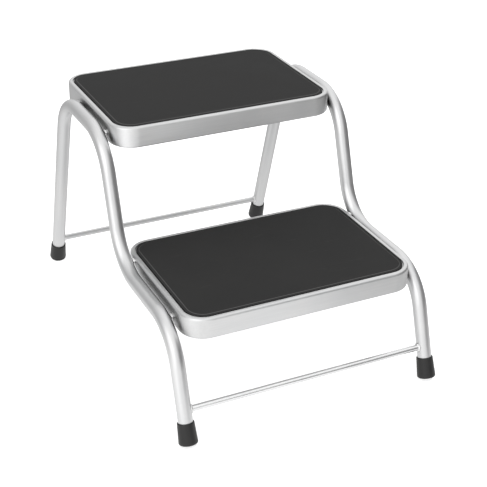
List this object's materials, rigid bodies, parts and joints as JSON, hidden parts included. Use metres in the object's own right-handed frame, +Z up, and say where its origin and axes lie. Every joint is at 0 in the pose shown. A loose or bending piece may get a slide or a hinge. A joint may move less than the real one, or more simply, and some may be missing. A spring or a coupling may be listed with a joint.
{
  "type": "two-tread step stool",
  "caption": "Fixed two-tread step stool: bent tubular side frames, pressed steel treads with inset rubber mats, low cross rods and black rubber ferrules on raked legs.",
  "frame": {"origin": "on the floor, on the centre plane, midway between the front and the rear feet", "axes": "+Z up; +Y to the rear, towards the high tread; +X to the right of someone facing the stool from its low front"},
  "size_m": [0.4348, 0.6402, 0.3726],
  "materials": {
    "frame_metal": "satin silver finish on steel tube",
    "tread_metal": "satin silver finish on pressed steel sheet",
    "weld_metal": "silver finish over a slightly uneven weld",
    "mat_rubber": "matt dark grey rubber",
    "foot_rubber": "matt black moulded rubber",
    "adhesive": "dull amber contact adhesive film",
    "disc_steel": "plain stamped steel"
  },
  "bodies": {
    "root": {"left_side_tube": "frame_metal", "right_side_tube": "frame_metal", "upper_tread_pan": "tread_metal", "lower_tread_pan": "tread_metal", "upper_tread_mat": "mat_rubber", "lower_tread_mat": "mat_rubber", "upper_mat_adhesive": "adhesive", "lower_mat_adhesive": "adhesive", "upper_tread_stiffener": "tread_metal", "lower_tread_stiffener": "tread_metal", "upper_tread_welds_left": "weld_metal", "upper_tread_welds_right": "weld_metal", "lower_tread_welds_left": "weld_metal", "lower_tread_welds_right": "weld_metal", "front_cross_rod": "frame_metal", "rear_cross_rod": "frame_metal", "front_rod_welds": "weld_metal", "rear_rod_welds": "weld_metal", "front_left_foot": "foot_rubber", "front_right_foot": "foot_rubber", "rear_left_foot": "foot_rubber", "rear_right_foot": "foot_rubber", "front_left_foot_disc": "disc_steel", "front_right_foot_disc": "disc_steel", "rear_left_foot_disc": "disc_steel", "rear_right_foot_disc": "disc_steel"}
  },
  "joints": []
}
